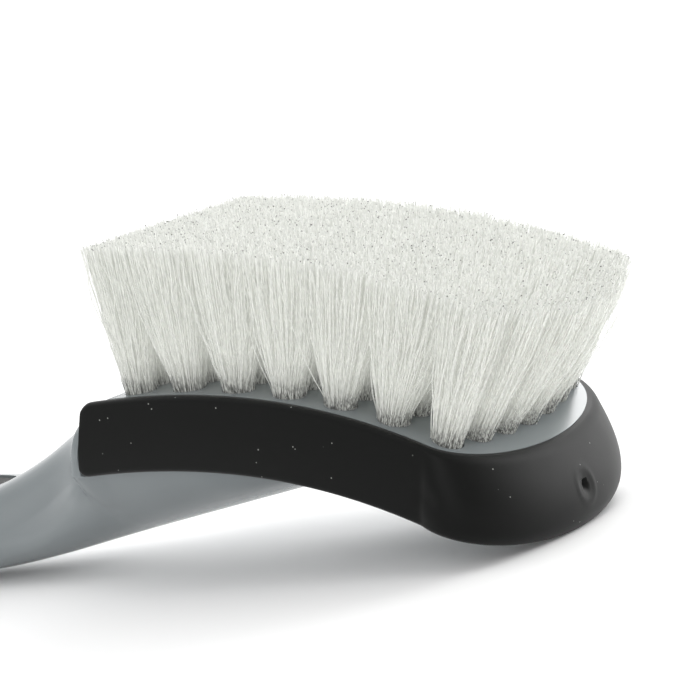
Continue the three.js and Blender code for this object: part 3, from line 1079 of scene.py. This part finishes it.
def disc_spots(count, rng):
    """Evenly scattered spots in the unit disc, as a sunflower's seeds, slightly disturbed."""
    index = np.arange(count) + 0.5
    radius = np.sqrt(index / count)
    turn = index * math.pi * (3 - math.sqrt(5))
    spots = np.stack([radius * np.cos(turn), radius * np.sin(turn)], axis=1)
    return spots + rng.normal(0, 0.25 / math.sqrt(count), spots.shape)


def tuft_room(column, row):
    """How far the tuft's tip may open to the rear, front, right and left."""
    tip = tip_place(column, row)

    def half_way(c, r, axis):
        inside = 0 <= c < COLUMNS and 0 <= r < ROWS
        return abs(tip_place(c, r)[axis] - tip[axis]) / 2 if inside else FREE_ROOM[axis]

    return (
        half_way(column - 1, row, 0),
        half_way(column + 1, row, 0),
        half_way(column, row - 1, 1),
        half_way(column, row + 1, 1),
    )


def tuft_strands(column, row, shape, settings, rng):
    """Every filament of one tuft, packed in its hole and opening out to the trimmed face: its
    points, and their heights above the plate and distances below the tip."""
    base, _, _ = shape
    count = settings.strands_per_tuft
    radius = settings.strand_diameter / MM / 2
    x0, y0 = tuft_place(column, row)
    lean_x, lean_y = tuft_lean(x0, y0)
    plate = arch_height(x0)
    spots = disc_spots(count, rng)
    rear, front, right, left = tuft_room(column, row)
    # A disc's spot goes to a square's spot, so that the open tips fill their cell.
    size = np.hypot(spots[:, 0], spots[:, 1])
    largest = np.maximum(np.abs(spots).max(axis=1), 1e-6)
    square = spots * (size / largest)[:, None] ** 0.75
    reach_x = np.where(square[:, 0] > 0, front, rear)
    reach_y = np.where(square[:, 1] > 0, left, right)
    # The tips keep little of their order in the hole: strands cross each other.
    stray = 1 + STRAY_REACH * (rng.random(count) < STRAY_SHARE)
    rise = trim_height(x0) - plate
    open_x = square[:, 0] * reach_x + rng.normal(0, TIP_SPREAD, count)
    open_y = square[:, 1] * reach_y + rng.normal(0, TIP_SPREAD, count)
    tip_x = x0 + lean_x * rise + open_x * stray
    tip_y = y0 + lean_y * rise + open_y * stray
    cut = rng.normal(0, CUT_SPREAD, count) - np.abs(rng.normal(0, SHORT_SPREAD, count))
    length = (tip_height(tip_x, tip_y) + cut - plate)[:, None]
    mouth = spots * (HOLE_RADIUS - MOUTH_CLEARANCE) + rng.normal(0, MOUTH_SPREAD, spots.shape)
    wave_turn = rng.uniform(0, 2 * math.pi, count)[:, None]
    wave_size = np.abs(rng.normal(0, WAVE_SIZE, count))[:, None]
    wave_phase = rng.uniform(0, 2 * math.pi, count)[:, None]
    crimp_size = np.abs(rng.normal(0, CRIMP_SIZE, count))[:, None]
    crimps = rng.uniform(*CRIMPS, count)[:, None]
    twist = rng.uniform(0, 2 * math.pi, count)[:, None]
    level = base[:, 2][None, :]  # 0 at the root, 1 at the tip
    height = -ROOT_DEPTH + (length + ROOT_DEPTH) * level
    above = height / length
    opening = 1 - (1 - np.clip(above, 0, 1)) ** rng.uniform(*OPENING, count)[:, None]
    wave = np.sin(above * 2 * math.pi * WAVES + wave_phase) * wave_size
    wave = wave + np.sin(above * 2 * math.pi * crimps + wave_phase) * crimp_size
    wave = wave * np.clip(above * 10, 0, 1)  # still in the hole, and free a tenth of the way up
    # A strand leans with its tuft from its place in the mouth, and opens by what it then misses.
    straight_x = x0 + mouth[:, :1] + lean_x * height
    straight_y = y0 + mouth[:, 1:] + lean_y * height
    miss_x = tip_x[:, None] - (x0 + mouth[:, :1] + lean_x * length)
    miss_y = tip_y[:, None] - (y0 + mouth[:, 1:] + lean_y * length)
    centre_x = straight_x + miss_x * opening + wave * np.cos(wave_turn)
    centre_y = straight_y + miss_y * opening + wave * np.sin(wave_turn)
    side_x = base[:, 0] * np.cos(twist) - base[:, 1] * np.sin(twist)
    side_y = base[:, 0] * np.sin(twist) + base[:, 1] * np.cos(twist)
    points = np.stack(
        [centre_x + side_x * radius, centre_y + side_y * radius, plate + height], axis=2
    )
    return points, height, length - height


class WHEELBRUSH_OT_bristles(bpy.types.Operator):
    """Builds every bristle tuft as separate nylon filaments"""

    bl_idname = "wheelbrush.bristles"
    bl_label = "Bristles"

    def execute(self, context):
        settings = context.scene.wheel_brush
        nylon = crimped_nylon(settings)
        shape = strand_shape(levels=11)
        turn = np.array(HEAD_TO_FRAME)
        for column in range(COLUMNS):
            for row in range(ROWS):
                rng = np.random.default_rng(FIRST_SEED + column * ROWS + row)
                points, above_plate, below_tip = tuft_strands(column, row, shape, settings, rng)
                laid = points @ turn[:3, :3].T + turn[:3, 3]
                name = f"bristles_{column + 1}_{row + 1}"
                mesh = repeat_strand(name, shape, laid)
                for key, values in (("above_plate", above_plate), ("below_tip", below_tip)):
                    attribute = mesh.attributes.new(key, "FLOAT", "POINT")
                    attribute.data.foreach_set("value", values.ravel())
                mesh.materials.append(nylon)
                tuft = bpy.data.objects.new(name, mesh)
                context.scene.collection.objects.link(tuft)
                join_piece(tuft, f"tuft_{column + 1}_{row + 1}", slot="bristle_nylon")
        return {"FINISHED"}


class WHEELBRUSH_OT_staples(bpy.types.Operator):
    """Builds the flat staples that hold the tufts in their holes"""

    bl_idname = "wheelbrush.staples"
    bl_label = "Staples"

    def execute(self, context):
        bm = bmesh.new()
        for column in range(COLUMNS):
            for row in range(ROWS):
                x, y = tuft_place(column, row)
                lean_x, lean_y = tuft_lean(x, y)
                made = bmesh.ops.create_cube(bm, size=1)["verts"]
                bmesh.ops.scale(bm, vec=STAPLE_SIZE, verts=made)
                drop = STAPLE_RISE - HOLE_DEPTH
                spot = (x + lean_x * drop, y + lean_y * drop, arch_height(x) + drop)
                bmesh.ops.translate(bm, vec=spot, verts=made)
        staples = new_piece(bm, "tuft_staples", stamped_brass())
        join_piece(staples)
        return {"FINISHED"}


# ---- stage ----


def soft_light(name, place, aim, size, power):
    """A square softbox, its place, aim and size in metres and its power in watts."""
    data = bpy.data.lights.new(name, "AREA")
    data.shape = "SQUARE"
    data.size = size
    data.energy = power
    light = bpy.data.objects.new(name, data)
    light.location = place
    light.rotation_euler = (Vector(aim) - Vector(place)).to_track_quat("-Z", "Y").to_euler()
    bpy.context.scene.collection.objects.link(light)


def studio_world():
    """White all round, brightest overhead and beyond the brush and dim on the camera's side."""
    world = bpy.data.worlds.new("studio")
    world.use_nodes = True
    tree = world.node_tree
    away = Vector((-math.sin(VIEW_AZIMUTH), math.cos(VIEW_AZIMUTH), 0.0))
    bright_side = away * 0.8 + Vector((0, 0, 0.6))
    direction = add_node(tree, "ShaderNodeTexCoord").outputs["Generated"]
    toward = add_node(
        tree, "ShaderNodeVectorMath", {0: direction}, {1: bright_side}, operation="DOT_PRODUCT"
    )
    strength = add_node(
        tree,
        "ShaderNodeMapRange",
        {"Value": toward.outputs["Value"]},
        {"To Min": 0.85, "To Max": 1.6},
        clamp=False,
    )
    background = tree.nodes["Background"]
    background.inputs["Color"].default_value = (1, 1, 1, 1)
    tree.links.new(strength.outputs["Result"], background.inputs["Strength"])
    return world


def viewing_camera():
    """The camera, turned with the head and level with its plate."""
    back = Vector(
        (
            math.sin(VIEW_AZIMUTH) * math.cos(VIEW_ELEVATION),
            -math.cos(VIEW_AZIMUTH) * math.cos(VIEW_ELEVATION),
            math.sin(VIEW_ELEVATION),
        )
    )
    turn = Matrix.Rotation(HEAD_TILT, 3, "Y")
    right = back.cross(Vector((0, 0, 1))).normalized() * -1
    up = back.cross(right)
    axes = Matrix((turn @ right, turn @ up, turn @ back)).transposed()
    data = bpy.data.cameras.new("camera")
    data.sensor_width = SENSOR_MM
    data.lens = LENS_MM
    data.clip_start, data.clip_end = 0.01, 20.0
    camera = bpy.data.objects.new("camera", data)
    camera.matrix_world = Matrix.Translation(
        HEAD_TO_FRAME @ (VIEW_AIM + back * VIEW_DISTANCE)
    ) @ axes.to_4x4()
    bpy.context.scene.collection.objects.link(camera)
    bpy.context.scene.camera = camera


class WHEELBRUSH_OT_stage(bpy.types.Operator):
    """Builds the pale floor, the soft lights and the camera"""

    bl_idname = "wheelbrush.stage"
    bl_label = "Stage"

    def execute(self, context):
        scene = context.scene
        bm = bmesh.new()
        bmesh.ops.create_grid(bm, x_segments=1, y_segments=1, size=6)
        floor = new_piece(bm, "floor", matt_paper(scene.wheel_brush), lay=False)
        scene.world = studio_world()
        soft_light("back_softbox", (0.0, 0.85, 0.6), (0.05, 0, 0.03), 0.5, 3.2)
        soft_light("front_fill", (0.4, -0.85, 0.4), (0.03, 0, 0.03), 0.6, 3.0)
        soft_light("nose_softbox", (0.55, 0.6, 0.22), (0.1, 0, 0.03), 0.4, 2.4)
        viewing_camera()
        scene.view_settings.view_transform = "Standard"
        return {"FINISHED"}


class WHEELBRUSH_PT_panel(bpy.types.Panel):
    """Lists the brush's pieces and settings"""

    bl_idname = "WHEELBRUSH_PT_panel"
    bl_label = "Wheel Brush"
    bl_space_type = "VIEW_3D"
    bl_region_type = "UI"
    bl_category = "Wheel Brush"

    def draw(self, context):
        settings = context.scene.wheel_brush
        for name in WheelBrushSettings.__annotations__:
            self.layout.prop(settings, name)
        for operator in OPERATORS:
            self.layout.operator(operator.bl_idname)


OPERATORS = (
    WHEELBRUSH_OT_body,
    WHEELBRUSH_OT_bumper,
    WHEELBRUSH_OT_grip_pad,
    WHEELBRUSH_OT_staples,
    WHEELBRUSH_OT_bristles,
    WHEELBRUSH_OT_stage,
)
CLASSES = (WheelBrushSettings, *OPERATORS, WHEELBRUSH_PT_panel)


def register():
    for cls in CLASSES:
        bpy.utils.register_class(cls)
    bpy.types.Scene.wheel_brush = PointerProperty(type=WheelBrushSettings)


def unregister():
    del bpy.types.Scene.wheel_brush
    for cls in reversed(CLASSES):
        bpy.utils.unregister_class(cls)


def main():
    register()
    bpy.ops.wheelbrush.body()
    bpy.ops.wheelbrush.bumper()
    bpy.ops.wheelbrush.grip_pad()
    bpy.ops.wheelbrush.staples()
    bpy.ops.wheelbrush.bristles()
    bpy.ops.wheelbrush.stage()


if __name__ == "__main__":
    main()
